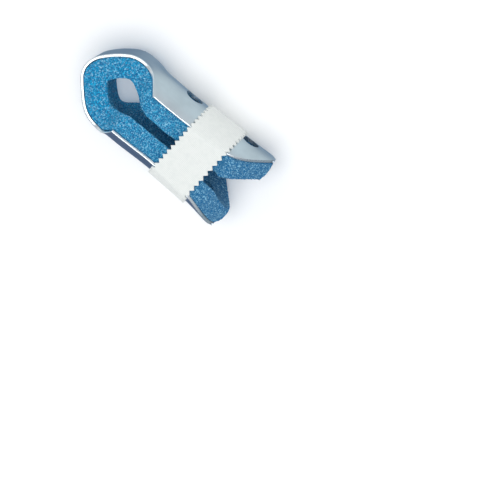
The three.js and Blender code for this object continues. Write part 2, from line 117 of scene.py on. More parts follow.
class SplintShellSettings(bpy.types.PropertyGroup):
    """The aluminium blank, flat sizes first, then its fold over the fingertip."""

    wall: length("Wall", 1.0, "Thickness of the sheet")
    bridge_half: length("Bridge half width", 6.0, "Half of the width of the bridge between the paddles")
    wing_half: length("Wing half width", 12.9, "Half of the flat width of a paddle")
    end_round: length("End round", 12.9, "Length of a paddle's rounded end")
    end_blunt: length("End blunt", 1.6, "Half width of the short straight stretch at a paddle's tip")
    end_taper: number("End taper", 0.75, "0.5 is an ellipse, and more is a more pointed end")
    arch_opening: number("Arch opening", 0.35, "Share by which the arch opens to the tip")
    dorsal_nose_radius: length("Dorsal nose radius", 8.0, "Radius of the fold's nose, on the upper side")
    dorsal_nose_turn: angle("Dorsal nose turn", 37, "Angle that the nose turns through on the upper side")
    dorsal_cheek_radius: length("Dorsal cheek radius", 28.0, "Radius of the long bend beside the nose, above")
    dorsal_cheek_turn: angle("Dorsal cheek turn", 17, "Angle that the long bend turns through, above")
    dorsal_brow_radius: length("Dorsal brow radius", 9.4, "Radius where the upper bend meets the bridge")
    dorsal_length: length("Dorsal length", 60.0, "From the nose to the tip of the upper paddle")
    dorsal_shoulder: length("Dorsal shoulder", 21.5, "From the nose to the upper paddle's corner")
    dorsal_neck_fillet: length("Dorsal neck fillet", 5.6, "Radius where the bridge widens, above")
    dorsal_neck_angle: angle("Dorsal neck angle", 50, "Slant of the flank before the upper corner")
    dorsal_arch_radius: length("Dorsal arch radius", 16.0, "Radius across the upper paddle at its corners")
    dorsal_crown: length("Dorsal crown", 0.2, "How far the upper spine stands over the bridge")
    dorsal_sink: length("Dorsal sink", 0.0, "How far the upper spine sinks towards the tape")
    dorsal_flare: length("Dorsal flare", 1.75, "How far the upper tip stands away from the finger")
    dorsal_flare_run: length("Dorsal flare run", 36.0, "Length over which the upper paddle flares")
    dorsal_end_swell: length("Dorsal end swell", 0.6, "Swell of the upper foam past the tip")
    dorsal_lip_opening: length("Dorsal lip opening", 0.0, "How far the upper lip of foam opens to the tip")
    palmar_nose_radius: length("Palmar nose radius", 6.2, "Radius of the fold's nose, on the lower side")
    palmar_nose_turn: angle("Palmar nose turn", 38, "Angle that the nose turns through on the lower side")
    palmar_cheek_radius: length("Palmar cheek radius", 45.0, "Radius of the long bend beside the nose, below")
    palmar_cheek_turn: angle("Palmar cheek turn", 10, "Angle that the long bend turns through, below")
    palmar_brow_radius: length("Palmar brow radius", 11.1, "Radius where the lower bend meets the bridge")
    palmar_length: length("Palmar length", 58.3, "From the nose to the tip of the lower paddle")
    palmar_shoulder: length("Palmar shoulder", 18.9, "From the nose to the lower paddle's corner")
    palmar_neck_fillet: length("Palmar neck fillet", 3.2, "Radius where the bridge widens, below")
    palmar_neck_angle: angle("Palmar neck angle", 60, "Slant of the flank before the lower corner")
    palmar_arch_radius: length("Palmar arch radius", 17.8, "Radius across the lower paddle at its corners")
    palmar_crown: length("Palmar crown", 0.4, "How far the lower spine stands over the bridge")
    palmar_sink: length("Palmar sink", 0.8, "How far the lower spine sinks towards the tape")
    palmar_flare: length("Palmar flare", 1.1, "How far the lower tip stands away from the finger")
    palmar_flare_run: length("Palmar flare run", 12.0, "Length over which the lower paddle flares")
    palmar_end_swell: length("Palmar end swell", 1.3, "Swell of the lower foam past the tip")
    palmar_lip_opening: length("Palmar lip opening", 1.3, "How far the lower lip of foam opens to the tip")
    sink_end: length("Sink end", 35.1, "From the nose to where a spine has sunk")
    edge_round: length("Edge round", 0.3, "Rounding of the sheared edge")
    vent_diameter: length("Vent diameter", 5.8, "Diameter of the vent holes")
    first_vent: length("First vent", 9.1, "From a paddle's tip to its first vent hole")
    second_vent: length("Second vent", 29.7, "From a paddle's tip to its second vent hole")
    waviness: length("Waviness", 0.07, "How far the hand-bent sheet strays from true")
    sheet_colour: colour("Sheet colour", "C8D1D7", "Rolled face of the aluminium")
    # Painted dark reflection: the colour that the metal is darkened to towards the fold
    painted_fold_reflection_colour: colour("Painted fold reflection colour", "8E9FB1", "Painted dark reflection on the metal at the fold")
    edge_colour: colour("Edge colour", "E6ECEF", "Bright sheared edge")
    # Painted shade: the darker colour of the sheared edge at the hand end
    shaded_end_edge_colour: colour("Shaded end edge colour", "8E99A3", "Painted shade on the sheared edge at the hand end")


class SplintFoamSettings(bpy.types.PropertyGroup):
    """The foam liner and the window that the fold leaves in its side."""

    thickness: length("Thickness", 6.35, "Foam and clearance together, under the metal")
    clearance: length("Clearance", 0.05, "Space between the foam and the metal")
    proud: length("Proud", 0.15, "How far the foam stands past the tips of the metal")
    swell_depth: length("Swell depth", 7.5, "Depth under the metal over which the foam's end swells")
    bulge: length("Bulge", 1.1, "Swell of the foam's sides under the paddles")
    head_bulge: length("Head bulge", 0.35, "Swell of the foam's sides under the bridge")
    bunching: length("Bunching", 1.0, "How much thicker the foam is where it is folded over the nose")
    pad_radius: length("Pad radius", 18.0, "Radius of the trough that the finger lies in")
    slot_half: length("Slot half height", 1.38, "Half of the slot between the two lips of foam")
    slot_rise: length("Slot rise", 0.4, "How far the slot lies over the middle plane")
    window_length: length("Window length", 13.6, "Length that the window's outline is a share of")
    window_half: length("Window half height", 4.85, "Height that the window's outline is a share of")
    lead_in: length("Lead in", 4.0, "Length over which the finger space opens from the window")
    voxel: length("Voxel", 0.3, "Face size of the foam's skin")
    cell: length("Cell", 0.4, "Size of the foam's open cells")
    deep_colour: colour("Deep colour", "186597", "Blue in the shade of the cells")
    mid_colour: colour("Mid colour", "3DA6CF", "Blue of the foam")
    light_colour: colour("Light colour", "92CDE8", "Blue of the cell walls that catch the light")
    cyan_colour: colour("Cyan colour", "00AEDF", "Greener blue of the patches near the nose")
    # Painted shade: the duller, darker blue that the foam takes on towards the hand end
    shaded_hand_colour: colour("Shaded hand colour", "52809F", "Painted shade: a duller, darker blue at the hand end")


class SplintTapeSettings(bpy.types.PropertyGroup):
    """The cloth tape round the middle of the splint."""

    wall: length("Wall", 0.6, "Two turns of tape together")
    turn: length("One turn", 0.28, "One turn of tape, the step at its end")
    width: length("Width", 12.7, "Width of the tape between the middles of its teeth")
    start: length("Start", 35.1, "From the nose of the splint to the tape")
    skew: length("Skew", 0.45, "How far the tape leans along the finger on its way round")
    clearance: length("Clearance", 0.3, "Space between the metal and the tape's inner face")
    fade: length("Fade", 4.0, "How far the squeeze of the tape reaches past its edges")
    tooth_pitch: length("Tooth pitch", 1.9, "From one pinked tooth to the next")
    tooth_depth: length("Tooth depth", 1.0, "Depth of the pinked teeth")
    thread: length("Thread spacing", 0.42, "Spacing of the woven threads")
    cloth_colour: colour("Cloth colour", "E8EAE6", "Bleached cotton")
    shade_colour: colour("Shade colour", "D2D7D4", "Cotton in the hollows of the weave")


class SplintStageSettings(bpy.types.PropertyGroup):
    """The floor, the light and the camera."""

    floor_colour: colour("Floor colour", "FFFFFF", "Plain pale floor")
    ceiling: colour("Ceiling", "EDEFF2", "The room over the walls, which lights the splint from its sides")
    zenith: colour("Zenith", "B4B8BC", "The room straight overhead, behind the key softbox")
    pale_wall: colour("Pale wall", "ECF9FD", "The wall beyond the back of the finger, as the metal sees it")
    dark_wall: colour("Dark wall", "52688C", "The wall on the pad side, as the metal sees it")
    low_wall: colour("Low wall", "7896B2", "The room below, as the metal sees it")
    camera_tilt: angle("Camera tilt", 16, "How far the camera leans to the back of the finger")
    camera_roll: angle("Camera roll", 41, "How far the finger points below the level to the right")
    field: length("Field", 141.2, "Width of the view at the splint")
    aim_ahead: length("Aim ahead", 67.5, "From the nose to the middle of the view, along the finger")
    aim_below: length("Aim below", 11.0, "How far the middle of the view lies to the pad side")
    lens: number("Lens", 180.0, "Focal length in millimetres", unit="CAMERA")
    key_power: number("Key power", 2.2, "Watts of the large softbox overhead", unit="POWER")
    key_size: length("Key size", 500.0, "Diameter of the softbox overhead")
    key_place: position("Key place", (0.03, 0.0, 0.62), "Middle of the softbox overhead")
    side_power: number("Side power", 0.1, "Watts of the softbox beside the splint", unit="POWER")
    side_size: length("Side size", 350.0, "Diameter of the softbox beside the splint")
    side_place: position("Side place", (0.1, 0.55, 0.32), "Middle of the softbox beside the splint")
    floor_half: length("Floor half", 1500.0, "Half of the floor's width")


# The shape of the folded blank. x is measured from the nose, y from the middle
# plane between the paddles and z from the middle of the width.


def smooth(x, low, high):
    """0 up to low, 1 from high, and a smooth rise between them."""
    share = np.clip((x - low) / (high - low), 0, 1)
    return share * share * (3 - 2 * share)


LEG_SIZES = (
    "nose_radius",
    "nose_turn",
    "cheek_radius",
    "cheek_turn",
    "brow_radius",
    "length",
    "shoulder",
    "neck_fillet",
    "neck_angle",
    "arch_radius",
    "crown",
    "sink",
    "flare",
    "flare_run",
    "end_swell",
    "lip_opening",
)


def splint_legs(shell):
    """The two legs of the fold, the one on the back of the finger first."""
    legs = []
    for side, name in ((1, "dorsal"), (-1, "palmar")):
        leg = SimpleNamespace(side=side, **{size: getattr(shell, f"{name}_{size}") for size in LEG_SIZES})
        x, y, _ = head_arcs(leg, leg.length)
        leg.head_length, leg.head_height = x[-1], y[-1]
        legs.append(leg)
    return legs


def head_arcs(leg, step):
    """x, y and heading along the outer face of one half of the fold, from the nose to the leg."""
    arcs = [
        (leg.nose_radius, leg.nose_turn),
        (leg.cheek_radius, leg.cheek_turn),
        (leg.brow_radius, math.pi / 2 - leg.nose_turn - leg.cheek_turn),
    ]
    points = [(0.0, 0.0, math.pi / 2)]
    for radius, turn in arcs:
        x, y, heading = points[-1]
        centre = (x + radius * math.sin(heading), y - radius * math.cos(heading))
        steps = max(4, round(radius * turn / step))
        for i in range(1, steps + 1):
            at = heading - turn * i / steps
            points.append((centre[0] - radius * math.sin(at), centre[1] + radius * math.cos(at), at))
    return np.array(points).T


def spine_height(shell, leg, x):
    """Height of a leg's outer face along its spine, with its crown, its sink and its flared tip."""
    crown = leg.crown * smooth(x, leg.head_length, leg.shoulder)
    sink = leg.sink * smooth(x, leg.shoulder, shell.sink_end)
    run = np.maximum(0, x - leg.length + leg.flare_run) / leg.flare_run
    return leg.head_height + crown - sink + leg.flare * run**1.5


def end_share(shell, leg, x, overrun=0.0):
    """How far x lies into a leg's rounded end, from 0 to 1."""
    return np.clip((x - leg.length - overrun + shell.end_round) / shell.end_round, 0, 1)


def half_width(shell, leg, x, overrun=0.0):
    """Half of a leg's flat width: bridge, concave neck, straight flank, parallel sides, rounded end."""
    slant = math.tan(leg.neck_angle)
    fillet_rise = leg.neck_fillet * (1 - math.cos(leg.neck_angle))
    flank_start = leg.shoulder - (shell.wing_half - shell.bridge_half - fillet_rise) / slant
    fillet_start = flank_start - leg.neck_fillet * math.sin(leg.neck_angle)
    run = np.clip(x - fillet_start, 0, flank_start - fillet_start)
    neck = shell.bridge_half + leg.neck_fillet - np.sqrt(leg.neck_fillet**2 - run**2)
    flank = shell.wing_half - np.maximum(0, leg.shoulder - x) * slant
    taper = (1 - end_share(shell, leg, x, overrun) ** 2) ** shell.end_taper
    wing = np.maximum(shell.end_blunt, shell.wing_half * taper)
    return np.where(x < flank_start, neck, np.minimum(flank, wing))


def under_tape(tape, x):
    """1 where the tape squeezes the foam's sides, and 0 once it is well clear of them."""
    end = tape.start + tape.width
    rise = smooth(x, tape.start - tape.fade, tape.start - tape.tooth_depth)
    return rise * (1 - smooth(x, end + tape.tooth_depth, end + tape.fade))


def arch(shell, leg, x):
    """How strongly a leg is arched across, in radians for each metre, most at the paddle's corners."""
    wing = smooth(x, leg.head_length, leg.shoulder)
    along = np.maximum(0, x - leg.shoulder) / (leg.length - leg.shoulder)
    return np.maximum(FLAT, wing / (leg.arch_radius * (1 + shell.arch_opening * along**2)))


def across(bend, v, depth):
    """z and the drop to the middle plane, at a flat distance v from the spine and a depth below the face."""
    turn = v * bend
    return np.sin(turn) / bend - depth * np.sin(turn), (1 - np.cos(turn)) / bend + depth * np.cos(turn)


def leg_stations(shell, leg, step, overrun=0.0):
    """x along a leg, closer together where its end is rounded."""
    round_start = leg.length + overrun - shell.end_round
    neck = np.linspace(leg.head_length, leg.shoulder, round((leg.shoulder - leg.head_length) / step) + 1)[1:]
    sides = np.linspace(leg.shoulder, round_start, round((round_start - leg.shoulder) / step) + 1)[1:]
    turns = np.linspace(0, math.pi / 2, round(1.4 * shell.end_round / step) + 1)[1:]
    return np.concatenate([neck, sides, round_start + shell.end_round * np.sin(turns)])


def frame_shift(shell):
    """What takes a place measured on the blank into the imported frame."""
    low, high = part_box(SHELL_NODE)
    dorsal, _ = splint_legs(shell)
    top = float(spine_height(shell, dorsal, dorsal.length))
    return np.array([low[0], high[1] - top, (low[2] + high[2]) / 2])


# Making meshes


def new_piece(name, places, faces, materials, material_index=None):
    """An object with a mesh of these places and faces, linked to the scene."""
    mesh = bpy.data.meshes.new(name)
    mesh.from_pydata([tuple(p) for p in places], [], [tuple(f) for f in faces])
    for material in materials:
        mesh.materials.append(material)
    if material_index is not None:
        mesh.polygons.foreach_set("material_index", material_index)
    mesh.update()
    piece = bpy.data.objects.new(name, mesh)
    bpy.context.scene.collection.objects.link(piece)
    return piece


def loft_faces(rings, count, loop=False, ends=None):
    """Faces between rings of places. ends is strip or fan, and a fan's two middles follow the rings."""
    faces = []
    for i in range(rings if loop else rings - 1):
        here, beyond = i * count, ((i + 1) % rings) * count
        for k in range(count):
            along = (k + 1) % count
            faces.append((here + k, here + along, beyond + along, beyond + k))
    last = (rings - 1) * count
    if ends == "strip":
        for k in range(count // 2 - 1):
            mate = count - 1 - k
            faces.append((k, mate, mate - 1, k + 1))
            faces.append((last + k, last + k + 1, last + mate - 1, last + mate))
    if ends == "fan":
        for k in range(count):
            along = (k + 1) % count
            faces.append((rings * count, along, k))
            faces.append((rings * count + 1, last + k, last + along))
    return faces


def face_out(piece):
    """Turns the faces round if they enclose a negative volume."""
    mesh = piece.data
    mesh.calc_loop_triangles()
    corners = np.empty(len(mesh.loop_triangles) * 3, dtype=np.int32)
    mesh.loop_triangles.foreach_get("vertices", corners)
    places = read_places(mesh)[corners].reshape(-1, 3, 3)
    volume = np.einsum("ij,ij->i", places[:, 0], np.cross(places[:, 1], places[:, 2])).sum()
    if volume < 0:
        mesh.flip_normals()


def read_places(mesh):
    """The places of a mesh's vertices, a row for each."""
    flat = np.empty(len(mesh.vertices) * 3)
    mesh.vertices.foreach_get("co", flat)
    return flat.reshape(-1, 3)


def read_normals(mesh):
    """The way that each vertex of a mesh faces, a row for each."""
    flat = np.empty(len(mesh.vertices) * 3)
    mesh.vertex_normals.foreach_get("vector", flat)
    return flat.reshape(-1, 3)


def keep_modifiers(piece):
    """Replaces the piece's mesh by what its modifiers make of it."""
    graph = bpy.context.evaluated_depsgraph_get()
    made = bpy.data.meshes.new_from_object(piece.evaluated_get(graph))
    piece.modifiers.clear()
    piece.data = made


def cut(piece, cutters, operation="DIFFERENCE"):
    """Cuts the piece by the cutters, or joins them to it, and removes them."""
    for cutter in cutters:
        step = piece.modifiers.new("cut", "BOOLEAN")
        step.operation = operation
        step.solver = "EXACT"
        step.object = cutter
    keep_modifiers(piece)
    for cutter in cutters:
        bpy.data.objects.remove(cutter, do_unlink=True)


def soften(piece, degrees):
    """Smooth shading, sharp only across edges of more than so many degrees."""
    piece.data.shade_smooth()
    piece.data.set_sharp_from_angle(angle=math.radians(degrees))


def stray(places, size, seed):
    """Smooth noise from -1 to 1 at each place, with lumps of about that size."""
    shift = Vector((seed * 7.3, seed * 3.1, seed * 5.7))
    return np.array([noise.noise(Vector(p) / size + shift) for p in places])


def finish_piece(piece, node):
    """Hangs the piece on the root body and hides the CAD solid that it stands for."""
    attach(piece, ROOT)
    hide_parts(node)


# Materials. Patterns are sized by the real thing, in millimetres.

NOISE = "ShaderNodeTexNoise"
WAVE = "ShaderNodeTexWave"
RANGE = "ShaderNodeMapRange"
MATH = "ShaderNodeMath"
MIX = "ShaderNodeMix"
BUMP = "ShaderNodeBump"
SPLIT = "ShaderNodeSeparateXYZ"

# The sockets of a mix node: its share, its two colours and their mix, or its two numbers
SHARE, FIRST, SECOND, MIXED = 0, 6, 7, 2
FIRST_NUMBER, SECOND_NUMBER = 2, 3

# The length after which a wave texture of scale 1 repeats
WAVE_REPEAT = math.pi / 10


def fill_inputs(tree, node, inputs):
    """Fills a node's inputs with numbers, colours or the outputs of other nodes."""
    for socket, value in inputs.items():
        if isinstance(value, bpy.types.NodeSocket):
            tree.links.new(value, node.inputs[socket])
        else:
            node.inputs[socket].default_value = value


def add_node(tree, kind, inputs, output=0, **settings):
    """Adds a node with its settings and inputs, and gives one of its outputs."""
    node = tree.nodes.new(kind)
    for name, value in settings.items():
        setattr(node, name, value)
    fill_inputs(tree, node, inputs)
    return node.outputs[output]


def rgba(rgb, share=1.0):
    """A colour darkened to a share, with its alpha."""
    return (*[share * part for part in rgb], 1)


def new_material(name):
    """A bare material, its tree, its shader and the place on the object, in metres."""
    material = bpy.data.materials.new(name)
    material.use_nodes = True
    tree = material.node_tree
    shader = tree.nodes["Principled BSDF"]
    place = add_node(tree, "ShaderNodeTexCoord", {}, "Object")
    return material, tree, shader, place


def rolled_aluminium(shell, nose_x, head_length):
    """Soft aluminium sheet, cold rolled, cut to a blank and bent by hand."""
    # The rolls leave a satin face with streaks along the sheet, a tenth of a millimetre wide or less, which
    # are drawn coarser so that they show. Towards the fold the colour is painted darker in patches, as a
    # painted dark reflection, and the face is rougher there. Handling clouds the rest.
    streak_width = 0.5 * MM
    cloud_size = 7 * MM
    material, tree, shader, place = new_material("rolled_aluminium")
    along = add_node(tree, SPLIT, {"Vector": place}, "X")
    # Painted dark reflection: the colour darkens towards the fold, in cloudy patches, and the same share
    # roughens it
    flat_x, fold_x = nose_x + 1.25 * head_length, nose_x + 0.45 * head_length
    dulled = add_node(tree, RANGE, {"Value": along, "From Min": flat_x, "From Max": fold_x})
    drawn_out = add_node(tree, "ShaderNodeMapping", {"Vector": place, "Scale": (0.06, 1, 1)})
    rolling = {"Vector": drawn_out, "Scale": 1 / streak_width, "Detail": 3.0, "Roughness": 0.6}
    streaks = add_node(tree, NOISE, rolling)
    clouds = add_node(tree, NOISE, {"Vector": place, "Scale": 1 / cloud_size, "Detail": 3.0})
    patches = add_node(tree, RANGE, {"Value": clouds, "From Min": 0.3, "From Max": 0.7, "To Min": 0.75})
    fold_reflection_and_dullness = add_node(tree, MATH, {0: dulled, 1: patches}, operation="MULTIPLY")
    cloudy = add_node(tree, RANGE, {"Value": clouds, "From Min": 0.35, "From Max": 0.7})
    sheet = {SHARE: cloudy, FIRST: rgba(shell.sheet_colour), SECOND: rgba(shell.sheet_colour, 0.86)}
    face = add_node(tree, MIX, sheet, MIXED, data_type="RGBA")
    # Mixes in the fold's painted dark reflection
    bent = {SHARE: fold_reflection_and_dullness, FIRST: face, SECOND: rgba(shell.painted_fold_reflection_colour)}
    base = add_node(tree, MIX, bent, MIXED, data_type="RGBA")
    satin = {"Value": streaks, "From Min": 0.3, "From Max": 0.7, "To Min": 0.3, "To Max": 0.42}
    rough = add_node(tree, RANGE, satin)
    duller = add_node(tree, RANGE, {"Value": fold_reflection_and_dullness, "To Max": 0.08})
    roughness = add_node(tree, MATH, {0: rough, 1: duller}, operation="ADD")
    dents = add_node(tree, BUMP, {"Height": clouds, "Distance": 0.05 * MM, "Strength": 0.35})
    lines = {"Height": streaks, "Distance": 0.008 * MM, "Strength": 0.5, "Normal": dents}
    normal = add_node(tree, BUMP, lines)
    fill_inputs(tree, shader, {"Metallic": 1.0, "Base Color": base, "Roughness": roughness, "Normal": normal})
    return material


def sheared_aluminium(shell, nose_x):
    """The cut edge of the same sheet, sheared in a press and tumbled."""
    # The shear burnishes the edge, so it is brighter than the face, and tumbling leaves fine marks. At the
    # hand end the edge is painted darker, as painted shade.
    mark_size = 0.35 * MM
    material, tree, shader, place = new_material("sheared_aluminium")
    along = add_node(tree, SPLIT, {"Vector": place}, "X")
    tip_x = nose_x + shell.dorsal_length
    # Painted shade: the edge darkens over the rounded end at the hand end
    hand_end = {"From Min": tip_x - shell.end_round, "From Max": tip_x - 0.4 * shell.end_round}
    hand_end_shade = add_node(tree, RANGE, {"Value": along, **hand_end})
    marks = add_node(tree, NOISE, {"Vector": place, "Scale": 1 / mark_size, "Detail": 2.0})
    marked = add_node(tree, RANGE, {"Value": marks, "From Min": 0.35, "From Max": 0.75})
    edge = {SHARE: marked, FIRST: rgba(shell.edge_colour), SECOND: rgba(shell.edge_colour, 0.82)}
    bright = add_node(tree, MIX, edge, MIXED, data_type="RGBA")
    shaded_hand_end = {SHARE: hand_end_shade, FIRST: bright, SECOND: rgba(shell.shaded_end_edge_colour)}
    base = add_node(tree, MIX, shaded_hand_end, MIXED, data_type="RGBA")
    polish = {"Value": marks, "From Min": 0.3, "From Max": 0.7, "To Min": 0.24, "To Max": 0.4}
    roughness = add_node(tree, RANGE, polish)
    normal = add_node(tree, BUMP, {"Height": marks, "Distance": 0.02 * MM, "Strength": 0.4})
    fill_inputs(tree, shader, {"Metallic": 1.0, "Base Color": base, "Roughness": roughness, "Normal": normal})
    return material


def open_cell_foam(foam, nose_x, far_x):
    """Dyed polyurethane foam, cut from a sheet with a die."""
    # The knife opens the cells, so the face is matt and speckled: dark where a cell is in shade, light where
    # a cell wall faces up. The cells are about 0.4 mm across, as they are in fine foam. The dye is greener
    # near the nose, and the hand end is painted a duller, darker blue as painted shade.
    patch_size = 9 * MM
    run = far_x - nose_x
    material, tree, shader, place = new_material("open_cell_foam")
    along = add_node(tree, SPLIT, {"Vector": place}, "X")
    cells = {"Vector": place, "Scale": 1 / foam.cell, "Randomness": 1.0}
    pits = add_node(tree, "ShaderNodeTexVoronoi", cells, "Distance")
    fine = {"Vector": place, "Scale": 1 / (0.8 * foam.cell), "Detail": 4.0, "Roughness": 0.75}
    grain = add_node(tree, NOISE, fine)
    coarse = {"Vector": place, "Scale": 1 / (1.7 * foam.cell), "Detail": 3.0, "Roughness": 0.7}
    fibres = add_node(tree, NOISE, coarse)
    patches = add_node(tree, NOISE, {"Vector": place, "Scale": 1 / patch_size, "Detail": 2.0})
    head = {"From Min": nose_x + 0.45 * run, "From Max": nose_x + 0.15 * run}
    nearness = add_node(tree, RANGE, {"Value": along, **head})
    blotches = add_node(tree, RANGE, {"Value": patches, "From Min": 0.2, "From Max": 0.5})
    cyan = add_node(tree, MATH, {0: nearness, 1: blotches}, operation="MULTIPLY")
    dyes = {SHARE: cyan, FIRST: rgba(foam.mid_colour), SECOND: rgba(foam.cyan_colour)}
    dyed = add_node(tree, MIX, dyes, MIXED, data_type="RGBA")
    # Painted shade: towards the hand end the foam is painted a duller, darker blue
    hand_end = {"From Min": nose_x + 0.6 * run, "From Max": nose_x + 0.85 * run}
    hand_end_shade = add_node(tree, RANGE, {"Value": along, **hand_end})
    shaded_hand_end = {SHARE: hand_end_shade, FIRST: dyed, SECOND: rgba(foam.shaded_hand_colour)}
    body = add_node(tree, MIX, shaded_hand_end, MIXED, data_type="RGBA")
    sunk = add_node(tree, MATH, {0: pits, 1: -0.25}, operation="MULTIPLY")
    height = add_node(tree, MATH, {0: grain, 1: sunk}, operation="ADD")
    shade = add_node(tree, RANGE, {"Value": height, "From Min": 0.46, "From Max": 0.34})
    shaded = {SHARE: shade, FIRST: body, SECOND: rgba(foam.deep_colour)}
    dark = add_node(tree, MIX, shaded, MIXED, data_type="RGBA")
    walls = add_node(tree, MATH, {0: grain, 1: fibres}, operation="MULTIPLY")
    glint = add_node(tree, RANGE, {"Value": walls, "From Min": 0.27, "From Max": 0.36})
    lit = {SHARE: glint, FIRST: dark, SECOND: rgba(foam.light_colour)}
    base = add_node(tree, MIX, lit, MIXED, data_type="RGBA")
    lumps = add_node(tree, BUMP, {"Height": fibres, "Distance": 0.5 * foam.cell, "Strength": 0.5})
    pores = {"Height": grain, "Distance": 0.7 * foam.cell, "Strength": 0.8, "Normal": lumps}
    normal = add_node(tree, BUMP, pores)
    matt = {"Roughness": 0.92, "Specular IOR Level": 0.3}
    fill_inputs(tree, shader, {"Base Color": base, "Normal": normal, **matt})
    return material


def woven_tape(tape):
    """Bleached cotton tape in plain weave, with a zinc-oxide face."""
    # It is off-white, soft and matt, with crossed threads and greyer hollows between them. The real threads
    # are about 0.3 mm apart, and are drawn a little coarser so that they show.
    lump_size = 1.6 * MM
    material, tree, shader, place = new_material("woven_cotton_tape")
    threads = {"Scale": WAVE_REPEAT / tape.thread, "Distortion": 0.6, "Detail": 1.0, "Detail Scale": 2.0}
    warp, flat_weft, side_weft = (
        add_node(tree, WAVE, {"Vector": place, **threads}, "Fac", wave_type="BANDS", bands_direction=axis)
        for axis in "XYZ"
    )
    facing = add_node(tree, "ShaderNodeNewGeometry", {}, "Normal")
    upright = add_node(tree, SPLIT, {"Vector": facing}, "Z")
    levelness = add_node(tree, MATH, {0: upright}, operation="ABSOLUTE")
    is_flat = add_node(tree, RANGE, {"Value": levelness, "From Min": 0.6, "From Max": 0.8})
    wefts = {SHARE: is_flat, FIRST_NUMBER: side_weft, SECOND_NUMBER: flat_weft}
    weft = add_node(tree, MIX, wefts, data_type="FLOAT")
    weave = add_node(tree, MATH, {0: warp, 1: weft}, operation="MULTIPLY")
    lumps = add_node(tree, NOISE, {"Vector": place, "Scale": 1 / lump_size, "Detail": 3.0, "Roughness": 0.6})
    between = add_node(tree, RANGE, {"Value": weave, "From Min": 0.3, "From Max": 0.0, "To Max": 0.5})
    slack = add_node(tree, RANGE, {"Value": lumps, "From Min": 0.55, "From Max": 0.35, "To Max": 0.2})
    hollow = add_node(tree, MATH, {0: between, 1: slack}, operation="ADD")
    cloth = {SHARE: hollow, FIRST: rgba(tape.cloth_colour), SECOND: rgba(tape.shade_colour)}
    base = add_node(tree, MIX, cloth, MIXED, data_type="RGBA")
    creased = add_node(tree, BUMP, {"Height": lumps, "Distance": 0.1 * MM, "Strength": 0.3})
    woven = {"Height": weave, "Distance": 0.08 * MM, "Strength": 0.5, "Normal": creased}
    normal = add_node(tree, BUMP, woven)
    matt = {"Roughness": 0.88, "Specular IOR Level": 0.25, "Sheen Weight": 0.15, "Sheen Roughness": 0.5}
    fill_inputs(tree, shader, {"Base Color": base, "Normal": normal, **matt})
    return material


def matt_floor(stage):
    """A board painted with plain matt paint, rolled on."""
    # It is pale and even, with hardly any gloss.
    material, tree, shader, _ = new_material("matt_floor")
    matt = {"Roughness": 0.9, "Specular IOR Level": 0.1}
    fill_inputs(tree, shader, {"Base Color": rgba(stage.floor_colour), **matt})
    return material


# Operators


def settings():
    """The settings of the shell, the foam, the tape and the stage."""
    scene = bpy.context.scene
    return scene.splint_shell, scene.splint_foam, scene.splint_tape, scene.splint_stage


def vent_cutters(shell, materials):
    """Round punches standing on the spine of each paddle."""
    sides = 64
    far = 2 * shell.wing_half
    near = 0.12 * far
    radius = shell.vent_diameter / 2
    turns = np.linspace(0, 2 * math.pi, sides, endpoint=False)
    cutters = []
    for leg in splint_legs(shell):
        for from_end in (shell.first_vent, shell.second_vent):
            x = leg.length - from_end + radius * np.cos(turns)
            z = radius * np.sin(turns)
            rings = [np.stack([x, np.full(sides, leg.side * y), z], axis=1) for y in (near, far)]
            middles = [ring.mean(axis=0) for ring in rings]
            places = np.concatenate([*rings, middles]) + frame_shift(shell)
            faces = loft_faces(2, sides, ends="fan")
            index = [len(materials) - 1] * len(faces)
            cutter = new_piece("vent_cutter", places, faces, materials, index)
            face_out(cutter)
            cutters.append(cutter)
    return cutters


def edge_profile(shell, flat_steps=40, round_steps=4):
    """A ring round the sheet's section: share of the half width, inset and depth, and what is edge."""
    radius = shell.edge_round
    hair = 0.02 * radius
    turns = np.linspace(0, math.pi / 2, round_steps + 1)
    upper = [(1.0, radius * (math.sin(a) - 1), radius * (1 - math.cos(a))) for a in turns[1:]]
    lower = [(1.0, inset, shell.wall - depth) for _, inset, depth in reversed(upper)]
    flat = [(s, -radius, 0.0) for s in np.linspace(-1, 1, flat_steps + 1)]
    under = [(s, -radius, shell.wall) for s, _, _ in reversed(flat)]
    left_upper = [(-1.0, inset, depth) for _, inset, depth in reversed(upper)]
    left_lower = [(-1.0, inset, depth) for _, inset, depth in reversed(lower)]
    ring = [*left_upper, *flat, *upper, *lower, *under, *left_lower]
    is_edge = np.array([hair < depth < shell.wall - hair for _, _, depth in ring])
    share, inset, depth = np.array(ring).T
    return share, inset, depth, is_edge


def shell_stations(shell, step):
    """Places, outward ways, half widths and bends along the blank, from the upper tip to the lower one."""
    nudge = step / 9
    rows = []
    for leg in splint_legs(shell):
        x = leg_stations(shell, leg, step)
        slope = (spine_height(shell, leg, x + nudge) - spine_height(shell, leg, x - nudge)) / (2 * nudge)
        size = np.hypot(1, slope)
        height = leg.side * spine_height(shell, leg, x)
        half = half_width(shell, leg, x)
        part = np.stack([x, height, -slope / size, leg.side / size, half, arch(shell, leg, x)], axis=1)
        hx, hy, heading = head_arcs(leg, step)
        out_x, out_y = -np.sin(heading), leg.side * np.cos(heading)
        half = half_width(shell, leg, hx)
        turn = np.stack([hx, leg.side * hy, out_x, out_y, half, np.full_like(hx, FLAT)], axis=1)
        rows.append(np.concatenate([turn, part]))
    return np.concatenate([rows[0][::-1], rows[1][1:]])


